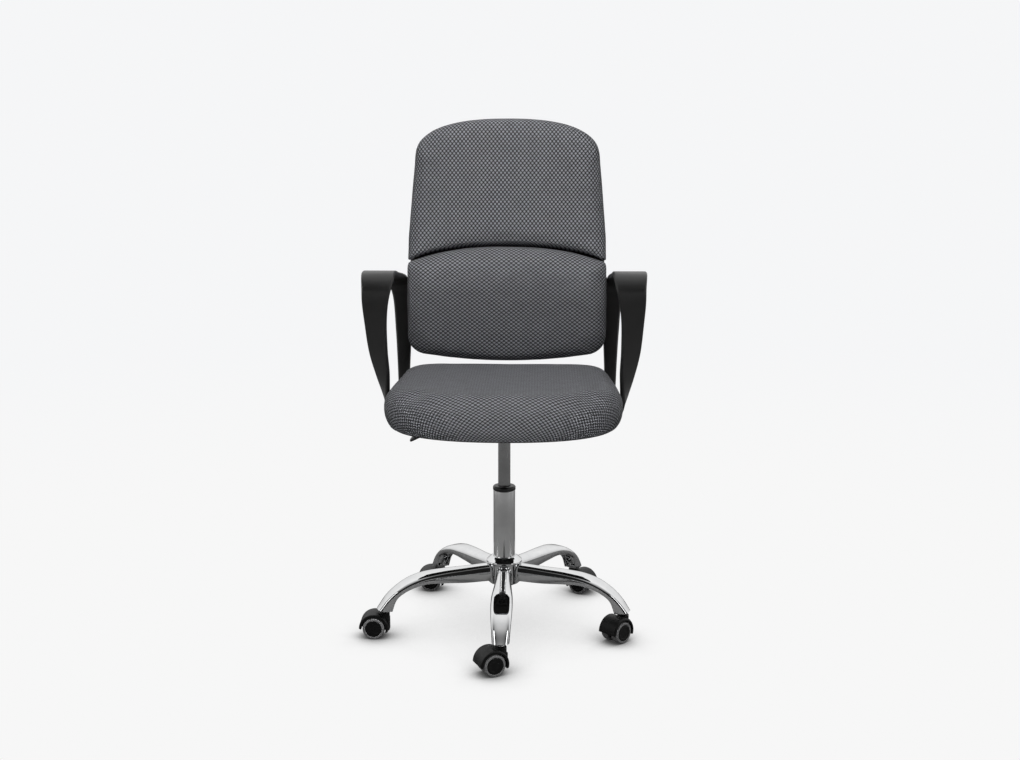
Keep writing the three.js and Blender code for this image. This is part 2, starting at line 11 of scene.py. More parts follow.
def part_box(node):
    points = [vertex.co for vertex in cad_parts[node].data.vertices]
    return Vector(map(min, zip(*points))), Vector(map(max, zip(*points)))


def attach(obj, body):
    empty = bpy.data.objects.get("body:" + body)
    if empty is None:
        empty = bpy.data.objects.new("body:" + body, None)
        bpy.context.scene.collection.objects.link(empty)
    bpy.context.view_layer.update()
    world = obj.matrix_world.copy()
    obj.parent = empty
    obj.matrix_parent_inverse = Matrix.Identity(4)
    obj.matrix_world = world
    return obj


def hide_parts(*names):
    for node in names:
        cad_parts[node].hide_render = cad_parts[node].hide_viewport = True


# Swivel office chair: the looks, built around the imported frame. The row frame has +Z up and the sitter
# faces -Y. Shapes are worked out in millimetres and become metres when a mesh is made.
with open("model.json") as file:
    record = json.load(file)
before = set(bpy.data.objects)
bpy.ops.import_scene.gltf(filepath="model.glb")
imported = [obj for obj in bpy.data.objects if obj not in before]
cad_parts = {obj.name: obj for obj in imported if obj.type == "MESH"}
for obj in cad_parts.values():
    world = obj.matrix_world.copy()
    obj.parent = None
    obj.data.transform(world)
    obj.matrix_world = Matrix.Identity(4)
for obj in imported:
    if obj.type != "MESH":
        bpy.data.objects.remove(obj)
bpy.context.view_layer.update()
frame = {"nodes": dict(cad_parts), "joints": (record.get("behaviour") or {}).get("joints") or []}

MM = 0.001
TAU = 2 * math.pi
joints = {joint["name"]: joint for joint in frame["joints"]}


def box_mm(node):
    """Lowest and highest corner of a CAD node, in millimetres."""
    low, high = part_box(node)
    return np.array(low) / MM, np.array(high) / MM


def placed(name, data):
    """A new object in the scene."""
    made = bpy.data.objects.new(name, data)
    bpy.context.scene.collection.objects.link(made)
    return made


# ---- camera --------------------------------------------------------------------------------------

CAMERA_DISTANCE = 3.0  # from the column's axis, level with the floor
CAMERA_HEIGHT = 1.16
CAMERA_DIP = math.radians(11)
CAMERA_YAW = math.radians(1.6)
FOCAL_LENGTH = 47.93
SHIFT_X = 0.0056


def make_camera():
    camera = placed("camera", bpy.data.cameras.new("camera"))
    camera.location = (
        CAMERA_DISTANCE * math.sin(CAMERA_YAW),
        -CAMERA_DISTANCE * math.cos(CAMERA_YAW),
        CAMERA_HEIGHT,
    )
    camera.rotation_euler = (math.pi / 2 - CAMERA_DIP, 0, CAMERA_YAW)
    camera.data.lens = FOCAL_LENGTH
    camera.data.shift_x = SHIFT_X
    bpy.context.scene.camera = camera


make_camera()

# ---- outlines and curves -------------------------------------------------------------------------


def fillet(corners, radius, steps):
    """Rounds the corners of a closed outline. The radius is one number, or one for each corner."""
    corners = [Vector(c) for c in corners]
    radii = radius if isinstance(radius, (list, tuple)) else [radius] * len(corners)
    rounded = []
    for k, (corner, r) in enumerate(zip(corners, radii)):
        before = corners[k - 1] - corner
        after = corners[(k + 1) % len(corners)] - corner
        half_angle = before.angle(after) / 2
        if r <= 0 or half_angle > math.radians(89):
            rounded.append(corner)
            continue
        back = min(r / math.tan(half_angle), 0.49 * before.length, 0.49 * after.length)
        r = back * math.tan(half_angle)
        bisector = (before.normalized() + after.normalized()).normalized()
        centre = corner + bisector * (r / math.sin(half_angle))
        start = corner + before.normalized() * back - centre
        end = corner + after.normalized() * back - centre
        for step in range(steps + 1):
            rounded.append(centre + start.lerp(end, step / steps).normalized() * r)
    return [tuple(p) for p in rounded]


def even(points, count, closed=True):
    """The same line with points at even distances along it."""
    points = np.asarray(points, float)
    if closed:
        points = np.vstack([points, points[:1]])
    run = np.concatenate([[0], np.cumsum(np.linalg.norm(np.diff(points, axis=0), axis=1))])
    stops = np.linspace(0, run[-1], count + 1 if closed else count)
    made = np.stack([np.interp(stops, run, column) for column in points.T], axis=1)
    return made[:-1] if closed else made


def softened(points, passes):
    """Relaxes a closed outline, so that its corners turn smoothly."""
    points = np.asarray(points, float)
    for _ in range(passes):
        points = 0.5 * points + 0.25 * (np.roll(points, 1, 0) + np.roll(points, -1, 0))
    return points


def curve_points(points, count):
    """Points at even steps of the centripetal Catmull-Rom curve through the given ones."""
    points = np.asarray(points, float)
    ends = np.vstack([2 * points[0] - points[1], points, 2 * points[-1] - points[-2]])
    made = []
    for t in np.linspace(0, len(points) - 1, count):
        k = min(int(t), len(points) - 2)
        p0, p1, p2, p3 = ends[k:k + 4]
        d0, d1, d2 = (math.sqrt(np.linalg.norm(b - a)) for a, b in ((p0, p1), (p1, p2), (p2, p3)))
        slope1 = ((p1 - p0) / d0 - (p2 - p0) / (d0 + d1) + (p2 - p1) / d1) * d1
        slope2 = ((p2 - p1) / d1 - (p3 - p1) / (d1 + d2) + (p3 - p2) / d2) * d1
        w = t - k
        cubic = 2 * p1 - 2 * p2 + slope1 + slope2
        square = -3 * p1 + 3 * p2 - 2 * slope1 - slope2
        made.append(((cubic * w + square) * w + slope1) * w + p1)
    return np.array(made)


def inset(outline, distance):
    """Draws an outline in by the same distance on each side of its box."""
    outline = np.asarray(outline, float)
    low, high = outline.min(0), outline.max(0)
    half = (high - low) / 2
    return (low + half) + (outline - low - half) * (half - distance) / half


# ---- meshes --------------------------------------------------------------------------------------


def piece(name, points, faces, sharp=35):
    """A smooth-shaded object from points in millimetres. Edges that turn by more than sharp stay crisp."""
    mesh = bpy.data.meshes.new(name)
    mesh.from_pydata([tuple(p) for p in np.asarray(points, float) * MM], [], faces)
    shape = bmesh.new()
    shape.from_mesh(mesh)
    bmesh.ops.remove_doubles(shape, verts=shape.verts, dist=1e-6)
    bmesh.ops.dissolve_degenerate(shape, edges=shape.edges, dist=1e-7)
    bmesh.ops.recalc_face_normals(shape, faces=shape.faces)
    shape.to_mesh(mesh)
    shape.free()
    return shaded(placed(name, mesh), sharp)


def shaded(obj, sharp=35):
    obj.data.shade_smooth()
    obj.data.set_sharp_from_angle(angle=math.radians(sharp))
    return obj


def skin(name, rings, looped=False, sharp=35):
    """A closed skin over rings of equally many points, capped at both ends unless it is looped."""
    rings = np.asarray(rings, float)
    count, size = rings.shape[:2]
    faces = []
    for j in range(count if looped else count - 1):
        a, b = j * size, (j + 1) % count * size
        for k in range(size):
            nxt = (k + 1) % size
            faces.append((a + k, a + nxt, b + nxt, b + k))
    if not looped:
        faces.append(tuple(reversed(range(size))))
        faces.append(tuple(range((count - 1) * size, count * size)))
    return piece(name, rings.reshape(-1, 3), faces, sharp)


def turned(name, profile, segments):
    """Turns a closed profile of (radius, height) points about the Z axis."""
    angles = np.linspace(0, TAU, segments, endpoint=False)
    rings = [
        np.stack([r * np.cos(angles), r * np.sin(angles), np.full(segments, float(z))], axis=1)
        for r, z in profile
    ]
    return skin(name, rings, looped=True)


def slab(name, outline, bottom, top, edge):
    """A plate standing on the plane z = bottom, its edges rounded by the given radius."""
    turns = np.linspace(0, math.pi / 2, 4)
    levels = [(bottom + edge * (1 - math.cos(t)), edge * (1 - math.sin(t))) for t in turns]
    levels += [(top - (z - bottom), distance) for z, distance in reversed(levels)]
    rings = [
        np.column_stack([inset(outline, distance), np.full(len(outline), z)])
        for z, distance in levels
    ]
    return skin(name, rings)


def moved(obj, matrix):
    """Moves a piece's points, its matrix given in millimetres."""
    metres = matrix.copy()
    metres.translation = metres.translation * MM
    obj.data.transform(metres)
    return obj


def settle(obj, sharp=35):
    """Applies the piece's modifiers."""
    graph = bpy.context.evaluated_depsgraph_get()
    mesh = bpy.data.meshes.new_from_object(obj.evaluated_get(graph), depsgraph=graph)
    old = obj.data
    obj.modifiers.clear()
    obj.data = mesh
    bpy.data.meshes.remove(old)
    return shaded(obj, sharp)


def combined(obj, tools, operation, sharp=35):
    """Cuts a piece with other solids, joins it to them or keeps what they share. The tools are used up."""
    for tool in tools:
        modifier = obj.modifiers.new("combine", "BOOLEAN")
        modifier.operation = operation
        modifier.solver = "MANIFOLD"
        modifier.object = tool
    settle(obj, sharp)
    for tool in tools:
        bpy.data.objects.remove(tool)
    return obj


def eased(obj, width):
    """Rounds off a piece's sharp edges."""
    modifier = obj.modifiers.new("ease", "BEVEL")
    modifier.width = width * MM
    modifier.segments = 2
    modifier.limit_method = "ANGLE"
    modifier.angle_limit = math.radians(40)
    return settle(obj)


def twin(obj, name, matrix):
    """Another copy of a piece, sharing its mesh, placed by a matrix in metres."""
    made = placed(name, obj.data)
    made.matrix_world = matrix
    return made


def rod(name, radius, bottom, top, edge, segments):
    """A round bar along Z."""
    profile = fillet([(0, bottom), (radius, bottom), (radius, top), (0, top)], [0, edge, edge, 0], 3)
    return turned(name, profile, segments)


def fitted(obj, body, finish, slot, *nodes):
    """Finishes a piece: its material, the body it rides on, and the CAD nodes it stands for. The slot is not
    used.
    """
    obj.data.materials.clear()
    obj.data.materials.append(finish)
    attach(obj, body)
    if nodes:
        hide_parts(*nodes)
    return obj


# ---- materials -----------------------------------------------------------------------------------


class Graph:
    """A node tree being built. Sockets take plain values or node outputs."""

    def __init__(self, tree):
        self.tree = tree

    def feed(self, socket, value):
        if isinstance(value, bpy.types.NodeSocket):
            self.tree.links.new(value, socket)
        else:
            socket.default_value = value

    def node(self, kind, named=None, out=0, **settings):
        made = self.tree.nodes.new("ShaderNode" + kind)
        for key, value in settings.items():
            setattr(made, key, value)
        for key, value in (named or {}).items():
            self.feed(made.inputs[key], value)
        return made.outputs[out]

    def place(self, scale=(1, 1, 1)):
        """The piece's own coordinates in metres, stretched by a factor along each axis."""
        point = self.node("TexCoord", out="Object")
        return self.node("VectorMath", {0: point, 1: scale}, operation="MULTIPLY")

    def noise(self, scale, detail, where=None):
        inputs = {"Vector": where or self.place(), "Scale": scale, "Detail": detail, "Roughness": 0.55}
        return self.node("TexNoise", inputs)

    def math(self, operation, a, b, clamp=False):
        return self.node("Math", {0: a, 1: b}, operation=operation, use_clamp=clamp)

    def spread(self, value, low, high, start=0.0, end=1.0):
        """Carries a value from start..end to low..high."""
        inputs = {"Value": value, 1: start, 2: end, 3: low, 4: high}
        return self.node("MapRange", inputs)

    def ramp(self, value, *stops):
        made = self.tree.nodes.new("ShaderNodeValToRGB")
        elements = made.color_ramp.elements
        while len(elements) < len(stops):
            elements.new(1.0)
        for element, (position, colour) in zip(elements, stops):
            element.position = position
            element.color = colour
        self.feed(made.inputs[0], value)
        return made.outputs[0]

    def mix(self, factor, a, b, blend="MIX"):
        made = self.tree.nodes.new("ShaderNodeMix")
        made.data_type = "RGBA"
        made.blend_type = blend
        self.feed(made.inputs[0], factor)
        self.feed(made.inputs[6], a)
        self.feed(made.inputs[7], b)
        return made.outputs[2]

    def bump(self, height, distance, strength=1.0, under=None):
        """A bump of the given height in millimetres, over another one if given."""
        inputs = {"Height": height, "Distance": distance * MM, "Strength": strength}
        if under is not None:
            inputs["Normal"] = under
        return self.node("Bump", inputs)


class Finish(Graph):
    """A material being built on the Principled shader."""

    def __init__(self, name, **sockets):
        self.material = bpy.data.materials.new(name)
        self.material.use_nodes = True
        super().__init__(self.material.node_tree)
        self.shader = self.tree.nodes["Principled BSDF"]
        self.set(**sockets)

    def set(self, **sockets):
        for name, value in sockets.items():
            self.feed(self.shader.inputs[name.replace("_", " ").title().replace("Ior", "IOR")], value)


def tone(value, tint=(1, 1, 1)):
    """A grey of a linear brightness, or a tinted one."""
    return (*(value * t for t in tint), 1.0)


def chrome_plate():
    look = Finish("chrome_plate", metallic=1.0)
    haze = look.noise(55, 5)
    look.set(
        base_color=look.ramp(haze, (0.3, tone(0.80, (0.98, 0.99, 1))), (0.75, tone(0.88))),
        roughness=look.spread(haze, 0.02, 0.07, 0.35, 0.75),
        normal=look.bump(look.noise(22, 1), 0.35, 0.5),
    )
    return look.material


def drawn_steel(name, colour, roughness):
    """Steel tube with the faint lengthwise marks of polishing."""
    look = Finish(name, metallic=1.0)
    marks = look.noise(900, 2, look.place((1, 1, 0.03)))
    cloud = look.noise(30, 4)
    mottled = look.ramp(cloud, (0.3, tone(colour * 0.88)), (0.7, tone(colour * 1.06)))
    look.set(
        base_color=look.mix(look.spread(marks, 0.0, 0.12), mottled, tone(colour * 0.75)),
        roughness=look.spread(marks, roughness * 0.85, roughness * 1.25),
        normal=look.bump(marks, 0.004),
    )
    return look.material


def moulded_plastic(name, colour, roughness, shine):
    """Spark-textured black plastic, a little paler where its edges have rubbed."""
    look = Finish(name, specular_ior_level=shine)
    edge = look.spread(look.node("NewGeometry", out="Pointiness"), 0.0, 1.0, 0.53, 0.62)
    rubbed = look.math("MULTIPLY", edge, look.spread(look.noise(60, 4), 0.0, 0.7, 0.4, 0.75), clamp=True)
    body = look.ramp(look.noise(14, 3), (0.3, tone(colour * 0.85)), (0.7, tone(colour * 1.15)))
    pitted = look.bump(look.noise(1400, 3), 0.035)
    look.set(
        base_color=look.mix(rubbed, body, tone(colour * 3.2)),
        roughness=look.spread(look.noise(90, 4), roughness - 0.07, roughness + 0.08),
        normal=look.bump(look.noise(25, 2), 0.12, 0.4, pitted),
    )
    return look.material


def tread_rubber():
    look = Finish("tread_rubber")
    dust = look.noise(140, 4)
    look.set(
        base_color=look.ramp(dust, (0.3, tone(0.36, (1, 1, 1.02))), (0.7, tone(0.46))),
        roughness=look.spread(dust, 0.5, 0.68),
        normal=look.bump(look.noise(700, 2), 0.04),
    )
    return look.material


def knit_cloth():
    """Spacer knit: pale raised pebbles in staggered rows over a dark ground. The weave attribute counts
    pebbles across in x and pairs of rows in y."""
    look = Finish("knit_cloth", sheen_weight=0.06, sheen_roughness=0.4, specular_ior_level=0.3)
    weave = look.node("Attribute", attribute_name="weave", out="Vector")
    loops = look.node("VectorMath", {0: weave, 1: (9, 14, 0)}, operation="MULTIPLY")
    wander = look.noise(0.35, 2, weave)
    pebbles = None
    for shift in ((0.0, 0.0, 0.0), (0.5, 0.5, 0.0)):
        shifted = look.node("VectorMath", {0: weave, 1: shift}, operation="ADD")
        cell = look.node("VectorMath", {0: shifted}, operation="FRACTION")
        centred = look.node("VectorMath", {0: cell, 1: (0.5, 0.5, 0.0)}, operation="SUBTRACT")
        sized = look.node("VectorMath", {0: centred, 1: (3.0, 3.5, 0.0)}, operation="MULTIPLY")
        reach = look.node("VectorMath", {0: sized}, operation="LENGTH", out="Value")
        dome = look.spread(look.math("MULTIPLY", reach, reach), 1.0, 0.0)
        pebbles = dome if pebbles is None else look.math("MAXIMUM", pebbles, dome)
    stitches = look.noise(1.0, 2, loops)
    cool = (0.96, 0.98, 1.06)
    pale = look.ramp(stitches, (0.3, tone(0.25, cool)), (0.7, tone(0.38, cool)))
    dark = look.ramp(stitches, (0.3, tone(0.03)), (0.7, tone(0.055, (0.97, 0.98, 1.05))))
    shown = look.spread(pebbles, 0.0, 1.0, 0.05, 0.55)
    cloth = look.mix(shown, dark, pale)
    height = look.math("ADD", pebbles, look.math("MULTIPLY", stitches, 0.25))
    look.set(
        base_color=look.mix(look.spread(wander, 0.0, 0.16, 0.3, 0.7), cloth, tone(0.03)),
        roughness=look.spread(stitches, 0.82, 0.98),
        normal=look.bump(height, 0.9, 0.8),
    )
    return look.material


def stained_plywood():
    look = Finish("stained_plywood")
    grain = look.noise(28, 5, look.place((1, 9, 1)))
    plies = look.node("TexWave", {"Vector": look.place((0, 0, 1)), "Scale": 210.0}, bands_direction="Z")
    stain = look.ramp(grain, (0.3, tone(0.012)), (0.7, tone(0.024, (1, 0.95, 0.9))))
    look.set(
        base_color=look.mix(look.spread(plies, 0.0, 0.3), stain, tone(0.008)),
        roughness=look.spread(grain, 0.65, 0.85),
        normal=look.bump(grain, 0.15),
    )
    return look.material


def painted_steel():
    look = Finish("painted_steel")
    peel = look.noise(420, 2)
    scuffs = look.noise(70, 5)
    look.set(
        base_color=look.ramp(scuffs, (0.35, tone(0.014)), (0.75, tone(0.03))),
        roughness=look.spread(scuffs, 0.32, 0.5),
        normal=look.bump(peel, 0.05),
    )
    return look.material


CHROME = chrome_plate()
SATIN_STEEL = drawn_steel("satin_steel", 0.95, 0.22)
DARK_STEEL = drawn_steel("lift_steel", 0.55, 0.24)
BOLT_STEEL = drawn_steel("bolt_steel", 0.12, 0.35)
BLACK_PLASTIC = moulded_plastic("arm_plastic", 0.011, 0.36, 0.8)
CASTOR_PLASTIC = moulded_plastic("castor_plastic", 0.004, 0.45, 0.35)
TREAD = tread_rubber()
KNIT = knit_cloth()
PLYWOOD = stained_plywood()
PAINTED_STEEL = painted_steel()

# ---- studio --------------------------------------------------------------------------------------

FLOOR_REACH = 9.0  # metres
FLOOR_FADE = (1.6, 4.0)  # where the floor starts to fade into the backdrop, and where it is gone
BACKGROUND = 0.93  # brightness of the backdrop and the floor


def stage_floor():
    """A pale floor that fades into the backdrop, has shadow painted into its glow under the chair, and is dim
    except to the camera.
    """
    bpy.ops.mesh.primitive_circle_add(vertices=96, radius=FLOOR_REACH, fill_type="NGON")
    floor = bpy.context.object
    floor.name = "studio_floor"
    look = Finish("studio_floor")
    place = look.node("TexCoord", out="Object")
    reach = look.node("VectorMath", {0: place}, operation="LENGTH", out="Value")
    far = look.spread(reach, 0, 1, *FLOOR_FADE)
    seen_by_camera = look.node("LightPath", out="Is Camera Ray")
    in_gloss = look.node("LightPath", out="Is Glossy Ray")
    dim = look.node("BsdfDiffuse", {"Color": look.mix(in_gloss, tone(0.1), tone(0.34))})
    clear = look.node("BsdfTransparent")
    # Painted shadow: ambient occlusion darkens the floor's glow near the castors and broadly under the chair.
    touched = look.node("AmbientOcclusion", {"Distance": 0.1}, out="AO", samples=16)
    covered = look.node("AmbientOcclusion", {"Distance": 0.34}, out="AO", samples=16)
    painted_contact_shadow = look.ramp(touched, (0.2, tone(0.1)), (0.95, tone(1.0)))
    painted_broad_shadow = look.ramp(covered, (0.3, tone(0.45)), (0.84, tone(1.0)))
    painted_shadow = look.mix(1.0, painted_contact_shadow, painted_broad_shadow, "MULTIPLY")
    glow_with_painted_shadow = look.node("Emission", {"Color": painted_shadow, "Strength": BACKGROUND})
    shown = look.node("MixShader", {0: seen_by_camera, 1: dim, 2: glow_with_painted_shadow})
    faded = look.node("MixShader", {0: far, 1: shown, 2: clear})
    look.feed(look.tree.nodes["Material Output"].inputs[0], faded)
    floor.data.materials.append(look.material)


# Brightness of the studio by height of direction, from straight down (0) to straight up (1): the light that
# falls on the chair, and what chrome shows of the room before the chair and behind it.
LIGHT_FALL = ((0.0, 0.02), (0.5, 0.08), (0.62, 0.18), (0.8, 0.3), (1.0, 0.3))
ROOM_BEFORE = ((0.0, 0.3), (0.49, 0.35), (0.525, 0.012), (0.81, 0.012), (0.88, 0.2), (0.95, 0.5),
               (1.0, 0.8))
ROOM_BEHIND = ((0.0, 0.3), (0.5, 0.62), (0.62, 0.85), (1.0, 1.0))


def studio_world():
    """A white backdrop for the camera, light mostly from above, and a dark-fronted room in reflections."""
    world = bpy.data.worlds.new("studio")
    bpy.context.scene.world = world
    world.use_nodes = True
    graph = Graph(world.node_tree)
    graph.tree.nodes.clear()
    direction = graph.node("TexCoord", out="Generated")
    height = graph.spread(graph.node("SeparateXYZ", {0: direction}, out="Z"), 0, 1, -1, 1)
    behind = graph.spread(graph.node("SeparateXYZ", {0: direction}, out="Y"), 0, 1, -0.25, 0.2)

    def light(stops):
        return graph.node("Background", {0: graph.ramp(height, *((at, tone(value)) for at, value in stops))})

    in_gloss = graph.node("LightPath", out="Is Glossy Ray")
    seen_by_camera = graph.node("LightPath", out="Is Camera Ray")
    room = graph.node("MixShader", {0: behind, 1: light(ROOM_BEFORE), 2: light(ROOM_BEHIND)})
    lit = graph.node("MixShader", {0: in_gloss, 1: light(LIGHT_FALL), 2: room})
    backdrop = graph.node("Background", {0: tone(1.0, (0.985, 0.99, 1.0)), 1: BACKGROUND})
    shown = graph.node("MixShader", {0: seen_by_camera, 1: lit, 2: backdrop})
    graph.feed(graph.tree.nodes.new("ShaderNodeOutputWorld").inputs[0], shown)


def softbox(name, place, aim, size, power, only="light", spread=180):
    """A rectangular lamp that gives only light, or only shows in gloss."""
    light = bpy.data.lights.new(name, "AREA")
    light.energy = power
    light.shape = "RECTANGLE"
    light.size, light.size_y = size
    light.spread = math.radians(spread)
    made = placed(name, light)
    made.location = place
    made.rotation_euler = (Vector(aim) - Vector(place)).to_track_quat("-Z", "Y").to_euler()
    made.visible_camera = False
    made.visible_diffuse = only == "light"
    made.visible_glossy = only == "gloss"


bpy.context.scene.view_settings.view_transform = "Standard"
stage_floor()
studio_world()
softbox("key_softbox", (0, -0.85, 1.95), (0, 0.2, 1.0), (1.0, 0.8), 14.5, spread=150)
softbox("seat_fill", (0, -0.75, 0.25), (0, -0.25, 0.52), (1.0, 0.15), 0.22, spread=17)
softbox("left_strip", (-2.4, -1.6, 1.5), (0, 0, 0.6), (0.5, 2.0), 9, only="gloss")
softbox("right_strip", (2.4, -1.6, 1.5), (0, 0, 0.6), (0.5, 2.0), 9, only="gloss")

# ---- base: hub, legs and column ------------------------------------------------------------------

hub_low, hub_high = box_mm("hub")
column_low, column_high = box_mm("column_tube")
sleeve_high = box_mm("guide_sleeve")[1]
COLUMN_RADIUS = column_high[0]
HUB_TOP = hub_high[2]


def make_hub():
    bore, foot = COLUMN_RADIUS + 0.3, hub_low[2]
    corners = [(bore, foot), (34, foot), (38, foot + 4), (38, 150), (hub_high[0], 152.5),
               (hub_high[0], 156), (33, 162.5), (28, HUB_TOP), (bore, HUB_TOP)]
    profile = fillet(corners, [0.8, 1, 1, 2, 1.5, 1.5, 1.5, 1.2, 0.5], 4)
    fitted(turned("hub_ring", profile, 128), "base", CHROME, "chrome", "hub")


# A leg from the hub outwards: crown and underside as (reach, height), and half width.
LEG_STATIONS = (
    ((38.5, 149), (38.5, 113), 17), ((95, 147), (95, 114), 18.5), ((145, 145.5), (145, 118.5), 21),
    ((190, 141), (184, 121), 23.5), ((225, 130.5), (213, 116), 24), ((255, 113), (238, 106), 23),
    ((279, 92), (258, 90), 21), ((299, 66), (269, 62), 19),
)
# Half of a leg's section from its lip to its crown: share of the half width, share of the height.
LEG_SECTION = ((0.9, 0.0), (0.97, 0.2), (1.0, 0.42), (0.95, 0.66), (0.8, 0.86), (0.5, 0.975), (0.0, 1.0))
LEG_SKIN = 3.0
LEG_REACH = -joints["castor_1_swivel"]["pos_m"][1] / MM
LEG_COUNT = 5
STEM_TOP = box_mm("castor_stem_1")[1][2]
CHANNEL_END = 0.965  # share of the leg's length where the open channel stops


def leg_mesh():
    """A pressed leg, which is an upturned channel with rounded lips, and the solid core inside its skin."""
    steps = 72
    crowns = curve_points([s[0] for s in LEG_STATIONS], steps)
    feet = curve_points([s[1] for s in LEG_STATIONS], steps)
    widths = curve_points([(s[2], 0) for s in LEG_STATIONS], steps)[:, 0]
    half = curve_points(LEG_SECTION, 12)
    section = np.vstack([half, half[-2::-1] * (-1, 1)])
    rings, cores = [], []
    for k, (crown, foot, width) in enumerate(zip(crowns, feet, widths)):
        at = k / (steps - 1)
        height = np.linalg.norm(crown - foot)
        depth = min(1.0, max(0.0, (CHANNEL_END - at) / 0.012))
        outer = section * (width, height)
        inner = section * (width - LEG_SKIN, (height - LEG_SKIN) * depth)
        inner[:, 1] = np.maximum(inner[:, 1], 0.02 * np.sin(section[:, 1] * math.pi))
        lip = [(outer[-1, 0] * 0.985, -1.0), (inner[-1, 0] * 1.015, -1.0)]
        other = [(inner[0, 0] * 1.015, -1.0), (outer[0, 0] * 0.985, -1.0)]
        flat = np.vstack([outer, lip, inner[::-1], other])
        up = (crown - foot) / height
        flare = 1 + 0.09 * max(0.0, 1 - at * 40) ** 2
        rings.append([(foot[0] + up[0] * z, x * flare, foot[1] + up[1] * z) for x, z in flat])
        core = section * (width - 1, height - 1)
        cores.append([(foot[0] + up[0] * z, x, foot[1] + up[1] * z) for x, z in core])
    return skin("leg_skin", rings, sharp=32), skin("leg_core", cores)


def make_legs():
    leg, core = leg_mesh()
    at_stem = Matrix.Translation((LEG_REACH, 0, 0))
    socket = moved(rod("socket", 9.5, 63, 90, 0.3, 40), at_stem)
    bore = moved(rod("bore", 6.0, 50, STEM_TOP + 1, 0, 40), at_stem)
    combined(socket, [core], "INTERSECT", 32)
    combined(leg, [socket], "UNION", 32)
    combined(leg, [bore], "DIFFERENCE", 32)
    stem_profile = fillet(
        [(0, 34), (5.5, 34), (5.5, 59), (9, 59), (9, 61.5), (5.5, 61.5), (5.5, STEM_TOP - 2),
         (4, STEM_TOP), (0, STEM_TOP)],
        [0, 0.5, 0.5, 0.8, 0.8, 0.3, 0.5, 0.5, 0], 3)
    stem = turned("stem_form", stem_profile, 40)
    for k in range(LEG_COUNT):
        pivot = Vector(joints[f"castor_{k + 1}_swivel"]["pos_m"])
        turn = Matrix.Rotation(math.atan2(pivot.y, pivot.x), 4, "Z")
        fitted(twin(leg, f"leg_channel_{k + 1}", turn), "base", CHROME, "chrome", f"leg_{k + 1}")
        post = twin(stem, f"stem_{k + 1}", turn @ Matrix.Translation((LEG_REACH * MM, 0, 0)))
        fitted(post, "base", SATIN_STEEL, "satin_steel", f"castor_stem_{k + 1}")
    for form in (leg, stem):
        bpy.data.objects.remove(form)


def make_column():
    wall, foot, top = 1.5, column_low[2], column_high[2]
    bore = COLUMN_RADIUS - wall
    corners = [(4, foot), (COLUMN_RADIUS, foot), (COLUMN_RADIUS, top), (bore, top), (bore, foot + 3),
               (4, foot + 3)]
    tube = turned("column_outer", fillet(corners, [0, 1.2, 0.6, 0.4, 0.5, 0], 3), 128)
    fitted(tube, "base", SATIN_STEEL, "satin_steel", "column_tube")
    lift_radius = box_mm("pressure_tube")[1][0]
    inner, rim, crown = lift_radius + 0.4, sleeve_high[0], sleeve_high[2]
    corners = [(inner, 232), (bore - 0.3, 232), (bore - 0.3, top + 0.3), (rim, top + 0.3),
               (rim, crown), (inner, crown)]
    sleeve = turned("column_collar", fillet(corners, [0.4, 0.4, 0, 1.0, 3.6, 1.6], 6), 128)
    fitted(sleeve, "base", BLACK_PLASTIC, "black_plastic", "guide_sleeve")


def make_lift():
    low, high = box_mm("pressure_tube")
    radius, foot, top = high[0], low[2], high[2]
    corners = [(5.4, foot), (radius, foot), (radius, top - 16), (radius - 0.5, top), (3.4, top),
               (3.4, top - 14), (12, top - 20), (12, foot + 10), (5.4, foot + 10)]
    tube = turned("lift_tube", fillet(corners, [0.3, 2.5, 3, 1, 0.3, 0.3, 1, 1, 0.3], 4), 96)
    fitted(tube, "seat", DARK_STEEL, "dark_steel", "pressure_tube")


make_hub()
make_legs()
make_column()
make_lift()

# ---- castors -------------------------------------------------------------------------------------

# Castor frame: the stem is on the Z axis, and the wheels trail along +X with their axle along Y.
AXLE_HEIGHT = joints["castor_1_right_spin"]["pos_m"][2] / MM
TRAIL = 22.0
WHEEL_RADIUS = AXLE_HEIGHT
HOOD_RADIUS, HOOD_HALF_WIDTH = 33.0, 24.5
AROUND_AXLE = Matrix.Translation((TRAIL, 0, AXLE_HEIGHT)) @ Matrix.Rotation(-math.pi / 2, 4, "X")


def hood_mesh():
    """The hood over both wheels: a drum and a stem housing, hollowed for the wheels and cut off below."""
    drum_corners = [(0, -HOOD_HALF_WIDTH), (HOOD_RADIUS, -HOOD_HALF_WIDTH),
                    (HOOD_RADIUS, HOOD_HALF_WIDTH), (0, HOOD_HALF_WIDTH)]
    hood = turned("hood", fillet(drum_corners, [0, 3.5, 3.5, 0], 6), 96)
    moved(hood, AROUND_AXLE)
    housing = rod("housing", 13, 12, 58, 1.6, 64)
    front = slab("front", fillet([(-13, -13), (8, -13), (8, 13), (-13, 13)], 5, 6), 12, 45, 0.5)
    combined(hood, [housing, front], "UNION")
    hollows = []
    for side in (-1, 1):
        hollow = rod("hollow", WHEEL_RADIUS + 2.6, 4.8, 40, 0, 96)
        turn = Matrix.Rotation(math.pi if side < 0 else 0, 4, "X")
        hollows.append(moved(hollow, AROUND_AXLE @ turn))
    below = slab("below", [(-60, -60), (70, -60), (70, 30), (14, 13), (-60, 26.5)], -60, 60, 0.01)
    moved(below, Matrix.Rotation(math.pi / 2, 4, "X"))
    stem_hole = rod("stem_hole", 5.9, 33, 70, 0, 40)
    axle_hole = moved(rod("axle_hole", 3.4, -10, 10, 0, 32), AROUND_AXLE)
    combined(hood, [*hollows, below, stem_hole, axle_hole], "DIFFERENCE")
    return eased(hood, 0.7)


